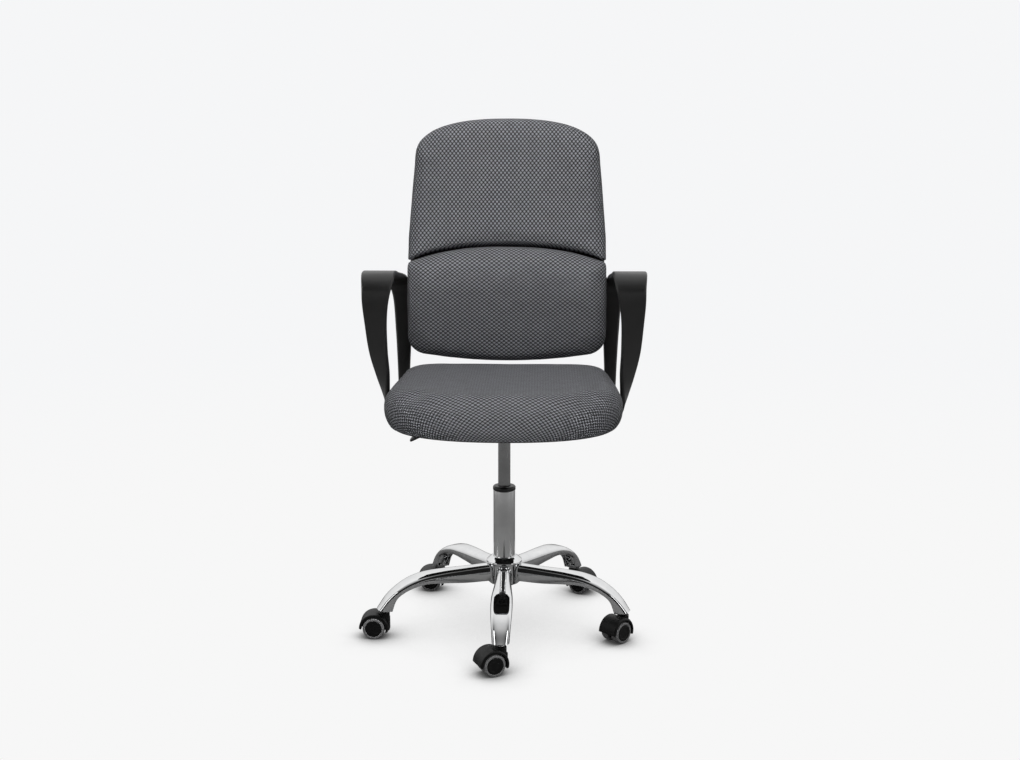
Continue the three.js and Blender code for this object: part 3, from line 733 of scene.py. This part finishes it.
def wheel_meshes(side):
    """A wheel's tread ring and its black cap, from the castor's middle outwards along the axle."""
    inner, outer, cap = 6.0, 24.5, 18.6
    tread = fillet(
        [(cap, inner + 1), (WHEEL_RADIUS - 1, inner), (WHEEL_RADIUS, inner + 3), (WHEEL_RADIUS, outer - 4),
         (WHEEL_RADIUS - 1.8, outer - 0.6), (cap + 0.2, outer - 0.4), (cap, outer - 1.5)],
        [0.5, 1.5, 3, 3, 2.0, 0.6, 0.3], 4)
    face = fillet(
        [(3.4, inner), (cap - 0.2, inner), (cap - 0.2, outer - 0.9), (cap - 1.2, outer), (13, outer - 0.1),
         (12, outer - 0.7), (0, outer - 0.4), (0, outer - 1.2), (3.4, outer - 1.2)],
        [0.3, 0.5, 0.4, 0.6, 0.5, 0.8, 0, 0, 0.1], 3)
    turn = Matrix.Rotation(math.pi if side == "right" else 0, 4, "X")
    made = []
    for name, profile in (("tread", tread), ("cap", face)):
        made.append(moved(turned(f"{name}_{side}_form", profile, 96), AROUND_AXLE @ turn))
    return made


def make_castors():
    hood = hood_mesh()
    wheels = {side: wheel_meshes(side) for side in ("right", "left")}
    for k in range(1, LEG_COUNT + 1):
        pivot = joints[f"castor_{k}_swivel"]["pos_m"]
        axle = joints[f"castor_{k}_right_spin"]["axis"]
        heading = math.atan2(-axle[0], axle[1])
        place = Matrix.Translation((pivot[0], pivot[1], 0)) @ Matrix.Rotation(heading, 4, "Z")
        cover = twin(hood, f"castor_cover_{k}", place)
        fitted(cover, f"castor_{k}", CASTOR_PLASTIC, "black_plastic", f"castor_hood_{k}")
        for side, (tread, cap) in wheels.items():
            body = f"castor_{k}_wheel_{side}"
            ring = twin(tread, f"tread_{k}_{side}", place)
            fitted(ring, body, TREAD, "grey_tread", f"castor_wheel_{k}_{side}")
            fitted(twin(cap, f"wheel_cap_{k}_{side}", place), body, CASTOR_PLASTIC, "black_plastic")
    for form in (hood, *wheels["right"], *wheels["left"]):
        bpy.data.objects.remove(form)


make_castors()

# ---- seat ----------------------------------------------------------------------------------------

SEAT_HALF_WIDTH = 268.5
SEAT_FRONT, SEAT_WIDEST_Y, SEAT_REAR = -256.0, -60.0, 216.0
FRONT_POWER, REAR_POWER, REAR_NARROWING = 2.3, 9.0, 0.075


def seat_outline():
    """Widest forward of the middle: a wide curve in front, and tight corners behind, where it narrows."""
    points = []
    for angle in np.linspace(0, TAU, 1440, endpoint=False):
        c, s = math.cos(angle), math.sin(angle)
        power = 2 / (FRONT_POWER if s < 0 else REAR_POWER)
        reach = (SEAT_FRONT if s < 0 else SEAT_REAR) - SEAT_WIDEST_Y
        up = abs(s) ** power
        narrowing = 1 if s < 0 else 1 - REAR_NARROWING * up ** 1.5
        x = SEAT_HALF_WIDTH * math.copysign(abs(c) ** power, c) * narrowing
        points.append((x, SEAT_WIDEST_Y + reach * up))
    return even(points, 240)


def pad_skin(name, outline, levels):
    """A crowned pad over its levels of (height, inset), its rings, and each ring point's place on the cloth,
    which unrolls from the face down over the sides."""
    levels = curve_points(levels, 4 * len(levels))
    rings = [np.column_stack([inset(outline, distance), np.full(len(outline), height)])
             for height, distance in levels]
    flat = [rings[-1][:, :2]]
    for upper, lower in zip(rings[::-1], rings[-2::-1]):
        step = np.linalg.norm(lower - upper, axis=1)
        out = outline - inset(outline, 60)
        out = out / np.linalg.norm(out, axis=1)[:, None]
        flat.append(flat[-1] + out * step[:, None])
    flat = flat[::-1]
    rings, flat = list(rings), list(flat)
    for share in (0.8, 0.55, 0.3, 0.08):
        centre = rings[-1].mean(0)
        rings.append(centre + (rings[-1] - centre) * share)
        flat.append(rings[-1][:, :2])
    obj = skin(name, rings, sharp=180)
    return obj, np.array(rings), np.array(flat)


# The seat's sides from its underside to its crown: height, and inset from the outline.
SEAT_LEVELS = ((489, 19), (497, 9), (508, 3), (521, 0), (542, 0), (558, 5), (570, 18), (577, 42),
               (581, 95))
SEAT_VOXEL, BACK_VOXEL = 6.0, 5.0
SEAT_SWELL, BACK_SWELL = 6.0, 5.0  # the furthest that a point moves when the pad is stuffed
CLOTH_PRESSURE, CLOTH_FRAMES = 4.0, 20
EVENING_PASSES = 12
(_, _, BOARD_LOW), (BOARD_HALF_WIDTH, _, BOARD_HIGH) = box_mm("seat_board")
# One pebble's width and one pair of rows, in millimetres.
KNIT_PITCH = {"seat": (12.0, 8.4), "lumbar": (11.5, 8.8), "upper": (9.2, 11.3)}


def weave_on(obj, rings, flat, pitch, matrix):
    """Stores the unrolled cloth coordinates, counted in pebbles, on each point of a pad."""
    count, size = rings.shape[:2]
    faces = []
    for j in range(count - 1):
        for k in range(size):
            a, b = j * size + k, j * size + (k + 1) % size
            faces.append((a, b, b + size))
            faces.append((a, b + size, a + size))
    points = [matrix @ Vector(p) for p in rings.reshape(-1, 3)]
    tree = BVHTree.FromPolygons(points, faces)
    uv = flat.reshape(-1, 2) / pitch
    weave = np.zeros((len(obj.data.vertices), 3), np.float32)
    for k, vertex in enumerate(obj.data.vertices):
        spot, _, face, _ = tree.find_nearest(vertex.co / MM)
        corners = faces[face]
        a, b, c = (points[i] for i in corners)
        across, along, offset = b - a, c - a, spot - a
        d00, d01, d11 = across.dot(across), across.dot(along), along.dot(along)
        d20, d21 = offset.dot(across), offset.dot(along)
        below = d00 * d11 - d01 * d01
        if below > 1e-9:
            v, w = (d11 * d20 - d01 * d21) / below, (d00 * d21 - d01 * d20) / below
        else:
            v, w = 0.0, 0.0
        weave[k, :2] = uv[corners[0]] * (1 - v - w) + uv[corners[1]] * v + uv[corners[2]] * w
    attribute = obj.data.attributes.new("weave", "FLOAT_VECTOR", "POINT")
    attribute.data.foreach_set("vector", weave.ravel())


def evened(mesh, amounts, fixed):
    """Spreads a value over neighbouring points, so that no small wrinkles are left. Fixed points keep 0."""
    ends = np.empty(2 * len(mesh.edges), int)
    mesh.edges.foreach_get("vertices", ends)
    a, b = ends.reshape(-1, 2).T
    size = len(amounts)
    degree = np.bincount(ends, minlength=size)
    for _ in range(EVENING_PASSES):
        around = np.bincount(a, amounts[b], size) + np.bincount(b, amounts[a], size)
        amounts = np.where(fixed, 0.0, (amounts + around / degree) / 2)
    return amounts


def swollen(obj, held, cap, voxel):
    """Stuffs a pad by cloth pressure. Points for which held is true rest on something and stay put, and no
    other point moves further than cap."""
    remesh = obj.modifiers.new("remesh", "REMESH")
    remesh.mode = "VOXEL"
    remesh.voxel_size = voxel * MM
    settle(obj)
    rest = np.array([v.co for v in obj.data.vertices])
    group = obj.vertex_groups.new(name="held")
    resting = np.array([held(p) for p in rest / MM])
    group.add(np.flatnonzero(resting).tolist(), 1.0, "REPLACE")
    cloth = obj.modifiers.new("cloth", "CLOTH")
    cloth.settings.use_pressure = True
    cloth.settings.uniform_pressure_force = CLOTH_PRESSURE
    cloth.settings.effector_weights.gravity = 0.0
    cloth.settings.vertex_group_mass = "held"
    cloth.point_cache.frame_end = CLOTH_FRAMES
    for step in range(1, CLOTH_FRAMES + 1):
        bpy.context.scene.frame_set(step)
    graph = bpy.context.evaluated_depsgraph_get()
    swelled = np.array([v.co for v in obj.evaluated_get(graph).data.vertices])
    obj.modifiers.clear()
    outward = np.empty(3 * len(rest))
    obj.data.vertices.foreach_get("normal", outward)
    outward = outward.reshape(-1, 3)
    limit = cap * MM
    swell = limit * np.tanh(((swelled - rest) * outward).sum(axis=1) / limit)
    swell = evened(obj.data, swell, resting)
    obj.data.vertices.foreach_set("co", (rest + outward * swell[:, None]).ravel())
    finer = obj.modifiers.new("finer", "SUBSURF")
    finer.levels = finer.render_levels = 1
    return settle(obj, 180)


def board_outline():
    """The seat board's outline under the cushion."""
    return inset(seat_outline(), SEAT_HALF_WIDTH - BOARD_HALF_WIDTH)


def make_cushion():
    pad, rings, flat = pad_skin("seat_cushion_cover", seat_outline(), SEAT_LEVELS)
    swollen(pad, lambda p: p[2] < SEAT_LEVELS[0][0] + 2, SEAT_SWELL, SEAT_VOXEL)
    pocket = slab("pocket", inset(board_outline(), -0.6), BOARD_LOW - 3, BOARD_HIGH + 0.4, 1.0)
    combined(pad, [pocket], "DIFFERENCE", 180)
    weave_on(pad, rings, flat, KNIT_PITCH["seat"], Matrix.Identity(4))
    fitted(pad, "seat", KNIT, "grey_fabric", "seat_cushion")


make_cushion()

# ---- backrest ------------------------------------------------------------------------------------

# Back frame: X across, Y towards the rear from the board's front face, Z up the board.
BACK_LEAN = math.radians(9.5)
BACK_FOOT = Vector((0, 204, 580))
IN_BACK = Matrix.Translation(BACK_FOOT) @ Matrix.Rotation(-BACK_LEAN, 4, "X")
# Pads are laid out flat, with their faces up: X across, Y up the board, Z forwards.
PAD_IN_BACK = IN_BACK @ Matrix.Rotation(math.pi / 2, 4, "X")
BACK_HALF_WIDTH, BACK_TOP_HALF_WIDTH, BACK_SHOULDER, BACK_CROWN = 237.5, 223, 485, 583
CROWN_POWER = 2.45  # of the superellipse over the shoulders
LUMBAR_TOP, LUMBAR_SIDE_DROP = 277, 33
CREASE_GAP = 0.8
LUMBAR_FOOT, BACK_FOOT_UP, BOARD_FOOT_UP = 2.5, 6, 10  # feet of the pad, the rear cover and the board
FOOT_CORNER = 48  # radius of the back's lower corners


def arch(x):
    """Height of the lumbar pad's arched top edge."""
    return LUMBAR_TOP - LUMBAR_SIDE_DROP * (abs(x) / 222) ** 2.5


def back_outline(foot):
    """The back's outline above a foot line, given as a function of x."""
    top = []
    for angle in np.linspace(0, math.pi, 120):
        c, s = math.cos(angle), math.sin(angle)
        power = 2 / CROWN_POWER
        x = BACK_TOP_HALF_WIDTH * math.copysign(abs(c) ** power, c)
        top.append((x, BACK_SHOULDER + (BACK_CROWN - BACK_SHOULDER) * abs(s) ** power))
    base = [(x, foot(x)) for x in np.linspace(-BACK_HALF_WIDTH, BACK_HALF_WIDTH, 60)]
    return [*base, (BACK_HALF_WIDTH, 300), *top, (-BACK_HALF_WIDTH, 300)]


def foot_curve(x):
    """How far the foot of the back rises from its middle towards its sides."""
    return 15 * (abs(x) / 194) ** 2.1


def board_foot(low):
    """Foot line of a board behind the lumbar pad, with corners as round as the pad's."""
    def line(x):
        into_corner = max(0.0, abs(x) - BACK_HALF_WIDTH + FOOT_CORNER)
        lift = FOOT_CORNER - math.sqrt(FOOT_CORNER ** 2 - into_corner ** 2)
        return low + foot_curve(min(abs(x), BACK_HALF_WIDTH - FOOT_CORNER)) + lift
    return line


def lumbar_outline():
    half = BACK_HALF_WIDTH
    foot = [(x, LUMBAR_FOOT + foot_curve(x)) for x in np.linspace(-150, 150, 25)]
    crown = [(x, arch(x)) for x in np.linspace(half - 1, -half + 1, 61)]
    side = [(-half, 24), *foot, (half, 24), (half, 150)]
    radii = [FOOT_CORNER, *[0] * 25, FOOT_CORNER, 0, 9, *[0] * 59, 9, 0]
    return fillet([*side, *crown, (-half, 150)], radii, 9)


# The pads' sides from the board to the face: height over the board, and inset from the outline.
UPPER_LEVELS = ((0.3, 8), (12, 0), (31, 2), (41, 9), (46.5, 24), (49, 46), (50, 75))
LUMBAR_LEVELS = ((0.3, 10), (14, 0), (42, 0), (56, 9), (64, 28), (68, 62))


def lumbar_share(_, up):
    """The lumbar pad is full in its upper half and thinner towards its foot."""
    return 1 - 0.6 * np.clip(1 - up / 230, 0, 1) ** 1.4


def upper_share(across, up):
    """The upper pad's face stays full down to the crease over the lumbar pad."""
    return 1 + 0.33 * np.exp(-np.clip(up - arch(across), 0, None) / 11)


def make_pad(name, node, outline, levels, pitch, share):
    """A pad on the back board. Its thickness is that of levels, times share at each place."""
    pad, rings, flat = pad_skin(name, softened(even(outline, 260), 2), levels)
    rings[:, :, 2] *= share(rings[:, :, 0], rings[:, :, 1])
    for vertex in pad.data.vertices:
        vertex.co.z *= float(share(vertex.co.x / MM, vertex.co.y / MM))
    moved(pad, PAD_IN_BACK)
    unplace = PAD_IN_BACK.inverted()
    swollen(pad, lambda p: (unplace @ Vector(p))[2] < 2.5, BACK_SWELL, BACK_VOXEL)
    weave_on(pad, rings, flat, pitch, PAD_IN_BACK)
    fitted(pad, "seat", KNIT, "grey_fabric", node)


make_pad("upper_pad_cover", "upper_pad", back_outline(lambda x: arch(x) + CREASE_GAP), UPPER_LEVELS,
         KNIT_PITCH["upper"], upper_share)
make_pad("lumbar_pad_cover", "lumbar_pad", lumbar_outline(), LUMBAR_LEVELS, KNIT_PITCH["lumbar"],
         lumbar_share)

# ---- arms ----------------------------------------------------------------------------------------

# The two edges of the strap of the arm on the sitter's left, +X: under the seat, up and forward, along the
# armrest, and down behind the backrest.
ARM_INNER_EDGE = (
    (214, 50, 480), (244, 48, 480.5), (262, 44, 491), (268.5, 38, 513), (266, 28, 545), (262, 8, 590),
    (261, -22, 650), (258, -44, 718), (252, -57, 762), (245, -56, 792), (240, -40, 813), (239, -12, 818),
    (240, 80, 805), (240, 190, 789), (239, 235, 779), (235, 262, 757), (231, 262, 725), (232, 249, 640),
    (235, 232, 548), (235, 225, 506), (231, 208, 483), (224, 186, 480),
)
ARM_OUTER_EDGE = (
    (214, 98, 480), (246, 97, 480.5), (264, 94, 491), (275, 89, 513), (284, 80, 541), (294, 56, 580),
    (304, 12, 638), (309, -32, 714), (311, -55, 762), (311, -57, 791), (313, -43, 812), (315, -12, 818),
    (315, 80, 805), (305, 190, 789), (296, 235, 778), (285, 262, 757), (277, 262, 730), (270, 250, 652),
    (265, 235, 570), (262, 225, 506), (258, 208, 483), (252, 186, 480),
)
ARM_THICKNESS = 12.0
FOOT_PLATE_TOP, FOOT_PLATE_THICKNESS = 487.0, 11.5
BOLT_HOLE = 3.7
ARM_BOLTS = [(x, y) for x in (-200, 200) for y in (78, 148)]
BACK_BOLTS = [(x, up) for x in (-210, 210) for up in (95, 190)]
TAB_FRONT, TAB_REAR, TAB_HALF_HEIGHT = 26.3, 36.3, 18


def drilled(obj, points, bottom, top, matrix=Matrix.Identity(4), sharp=35):
    """Drills bolt holes through a piece, upwards along Z before the matrix is applied."""
    holes = [moved(rod("hole", BOLT_HOLE, bottom, top, 0, 24), matrix @ Matrix.Translation((x, y, 0)))
             for x, y in points]
    return combined(obj, holes, "DIFFERENCE", sharp)


def strap_section(half):
    """Section of the strap: a rounded bar whose wide faces are slightly crowned."""
    thick = ARM_THICKNESS / 2
    corners = [(half, -thick), (half, thick), (-half, thick), (-half, -thick)]
    rounded = np.array(fillet(corners, 4.6, 5))
    swell = 0.9 * np.clip(1 - (rounded[:, 0] / (half - 2)) ** 2, 0, 1)
    rounded[:, 1] -= np.sign(rounded[:, 1]) * (0.9 - swell) * 0.5
    return rounded


def arm_mesh():
    """The arm on the sitter's left: the strap swept between its two edges, its foot plate and two tabs."""
    steps = 170
    inner, outer = curve_points(ARM_INNER_EDGE, steps), curve_points(ARM_OUTER_EDGE, steps)
    along = np.gradient(inner, axis=0) + np.gradient(outer, axis=0)
    rings = []
    for a, b, t in zip(inner, outer, along):
        across = (b - a) / np.linalg.norm(b - a)
        normal = np.cross(t, across)
        normal /= np.linalg.norm(normal)
        middle = (a + b) / 2
        half = np.linalg.norm(b - a) / 2
        rings.append([middle + across * x + normal * z for x, z in strap_section(half)])
    arm = skin("arm", rings, sharp=40)
    foot_corners = [(182, 54), (190, 46), (246, 46), (252, 60), (252, 186), (246, 200), (190, 200),
                    (182, 192)]
    parts = [slab("foot", fillet(foot_corners, 6, 4), FOOT_PLATE_TOP - FOOT_PLATE_THICKNESS,
                  FOOT_PLATE_TOP, 1.2)]
    for _, up in BACK_BOLTS[2:]:
        half = TAB_HALF_HEIGHT
        corners = [(196, up - 10), (203, up - half), (240, up - half), (240, up + half),
                   (203, up + half), (196, up + 10)]
        tab = slab("tab", fillet(corners, 4, 4), -TAB_REAR, -TAB_FRONT, 1.0)
        parts.append(moved(tab, PAD_IN_BACK))
    combined(arm, parts, "UNION", 40)
    drilled(arm, ARM_BOLTS[2:], 460, 500, sharp=40)
    return drilled(arm, BACK_BOLTS[2:], -45, -20, PAD_IN_BACK, 40)


def make_arms():
    arm = arm_mesh()
    fitted(twin(arm, "arm_loop_left", Matrix.Identity(4)), "seat", BLACK_PLASTIC, "black_plastic", "arm_left")
    mirrored = arm.data.copy()
    mirrored.transform(Matrix.Diagonal((-1, 1, 1, 1)))
    mirrored.flip_normals()
    bpy.data.objects.remove(arm)
    fitted(placed("arm_loop_right", mirrored), "seat", BLACK_PLASTIC, "black_plastic", "arm_right")


make_arms()

# ---- boards, back cover, seat plate and bolts ------------------------------------------------------

PLATE_BOLTS = [(x, y) for x in (-72, 72) for y in (-75, 75)]
PLATE_UNDERSIDE, PLATE_THICKNESS, BOX_FLOOR, LEVER_HEIGHT = 484, 3, 449, 466
# The rear cover from its rim to its raised middle: depth behind the board's face, and inset.
COVER_LEVELS = ((12.3, 6), (12.9, 5), (21, 5), (24.6, 6.4), (26, 10), (26, 58), (28, 66), (32, 80),
                (34, 110))
HEAD_HEIGHT = 4


def make_boards():
    seat_board = slab("seat_board_panel", board_outline(), BOARD_LOW, BOARD_HIGH, 1.5)
    drilled(seat_board, PLATE_BOLTS + ARM_BOLTS, BOARD_LOW - 5, BOARD_HIGH + 5)
    fitted(seat_board, "seat", PLYWOOD, "black_plywood", "seat_board")
    outline = inset(softened(even(back_outline(board_foot(BOARD_FOOT_UP)), 240), 3), 12)
    back_board = moved(slab("back_board_panel", outline, -12, 0, 1.5), PAD_IN_BACK)
    drilled(back_board, BACK_BOLTS, -20, 5, PAD_IN_BACK)
    fitted(back_board, "seat", PLYWOOD, "black_plywood", "back_board")
    outline = softened(even(back_outline(board_foot(BACK_FOOT_UP)), 240), 5)
    rings = [np.column_stack([inset(outline, distance), np.full(len(outline), -depth)])
             for depth, distance in reversed(COVER_LEVELS)]
    cover = moved(skin("back_cover_shell", rings, sharp=50), PAD_IN_BACK)
    drilled(cover, BACK_BOLTS, -40, -5, PAD_IN_BACK)
    fitted(cover, "seat", BLACK_PLASTIC, "black_plastic", "back_cover")


def make_seat_plate():
    """The pressing under the seat: a flange, a box with the lift's socket, and a slot for the lever."""
    flange_corners = [(-92, -95), (92, -95), (92, 95), (-92, 95)]
    box_corners = [(-36, -50), (36, -50), (36, 60), (-36, 60)]
    plate = slab("seat_plate_pressing", fillet(flange_corners, 14, 6), PLATE_UNDERSIDE,
                 PLATE_UNDERSIDE + PLATE_THICKNESS, 0.8)
    box = slab("box", fillet(box_corners, 8, 6), BOX_FLOOR, PLATE_UNDERSIDE + 1, 2.0)
    neck = rod("neck", 19, BOX_FLOOR - 11, BOX_FLOOR + 1, 1.2, 64)
    combined(plate, [box, neck], "UNION")
    hollow = slab("hollow", fillet(np.array(box_corners) * 0.93, 6, 6), BOX_FLOOR + 3, PLATE_UNDERSIDE, 1.5)
    bore = rod("bore", box_mm("pressure_tube")[1][0] + 0.3, BOX_FLOOR - 14, BOX_FLOOR + 5, 0, 64)
    slot_corners = [(-42, -6), (-30, -6), (-30, 6), (-42, 6)]
    slot = slab("slot", slot_corners, LEVER_HEIGHT - 8, LEVER_HEIGHT + 8, 0.1)
    combined(plate, [hollow, bore, slot], "DIFFERENCE")
    drilled(plate, PLATE_BOLTS, PLATE_UNDERSIDE - 3, PLATE_UNDERSIDE + 6)
    fitted(eased(plate, 0.5), "seat", PAINTED_STEEL, "black_painted_steel", "seat_plate")


HANDLE_ROOT, ROD_END = -108, -138
# The handle from its root to its tip: x, middle height, half thickness and half width.
HANDLE_STATIONS = ((-108, 466, 6.2, 8), (-112, 466, 7, 9.5), (-125, 466, 7.2, 11), (-145, 465, 7, 13.5),
                   (-168, 459.5, 6.8, 14.6), (-188, 451, 6.3, 14.6), (-204, 442.5, 5.4, 13.6),
                   (-211, 438.5, 4.4, 11.5), (-214, 436.8, 2.6, 8))


def make_lever():
    along_x = Matrix.Translation((0, 0, LEVER_HEIGHT)) @ Matrix.Rotation(-math.pi / 2, 4, "Y")
    bar = moved(rod("lever_bar", 4, -4, -ROD_END, 0.8, 40), along_x)
    fitted(bar, "height_lever", PAINTED_STEEL, "black_painted_steel", "lever_rod")
    stations = curve_points(HANDLE_STATIONS, 40)
    turns = np.linspace(0, TAU, 40, endpoint=False)
    across = np.sign(np.cos(turns)) * np.abs(np.cos(turns)) ** 0.75
    upward = np.sign(np.sin(turns)) * np.abs(np.sin(turns)) ** 0.75
    rings = [np.column_stack([np.full(40, x), across * width, z + upward * thick])
             for x, z, thick, width in stations]
    handle = skin("lever_paddle", rings, sharp=50)
    hole = moved(rod("hole", 4.3, -HANDLE_ROOT - 3, 0.3 - ROD_END, 0, 40), along_x)
    combined(handle, [hole], "DIFFERENCE", 50)
    fitted(handle, "height_lever", BLACK_PLASTIC, "black_plastic", "lever_handle")


def bolt_mesh(length):
    """A low-headed bolt with a hexagon socket, its shank up from the head's underside at z = 0."""
    corners = [(0, -HEAD_HEIGHT), (5.5, -HEAD_HEIGHT), (5.5, 0), (3, 0), (3, length), (0, length)]
    bolt = turned("bolt", fillet(corners, [0, 1.6, 0.4, 0.3, 0.6, 0], 4), 48)
    hexagon = [(2.6 * math.cos(a), 2.6 * math.sin(a)) for a in np.arange(6) * TAU / 6]
    socket = slab("hexagon", hexagon, -HEAD_HEIGHT - 1, -HEAD_HEIGHT + 2.2, 0.01)
    return combined(bolt, [socket], "DIFFERENCE")


def make_bolts():
    """Puts a bolt over each CAD bolt, head first: under the plate, under the arms' feet, behind the tabs."""
    kinds = (("plate_bolt", 14, Matrix.Identity(4)), ("arm_seat_bolt", 22, Matrix.Identity(4)),
             ("arm_back_bolt", 34, Matrix.Rotation(math.pi / 2 - BACK_LEAN, 4, "X")))
    for kind, length, turn in kinds:
        form = bolt_mesh(length)
        middle = Vector((0, 0, (length - HEAD_HEIGHT) / 2)) * MM
        for k in range(1, 5):
            low, high = (Vector(corner) * MM for corner in box_mm(f"{kind}_{k}"))
            place = Matrix.Translation((low + high) / 2) @ turn @ Matrix.Translation(-middle)
            bolt = twin(form, f"{kind}_{k}_hex", place)
            fitted(bolt, "seat", BOLT_STEEL, "bolt_steel", f"{kind}_{k}")
        bpy.data.objects.remove(form)


def finish_hidden_parts():
    """The parts inside the lift and the castors stay as they are in the CAD model."""
    looks = {"thrust_bearing": DARK_STEEL, "piston_rod": DARK_STEEL, "release_pin": SATIN_STEEL}
    looks |= {f"castor_axle_{k + 1}": SATIN_STEEL for k in range(LEG_COUNT)}
    for node, look in looks.items():
        materials = frame["nodes"][node].data.materials
        materials.clear()
        materials.append(look)


make_boards()
make_seat_plate()
make_lever()
make_bolts()
finish_hidden_parts()
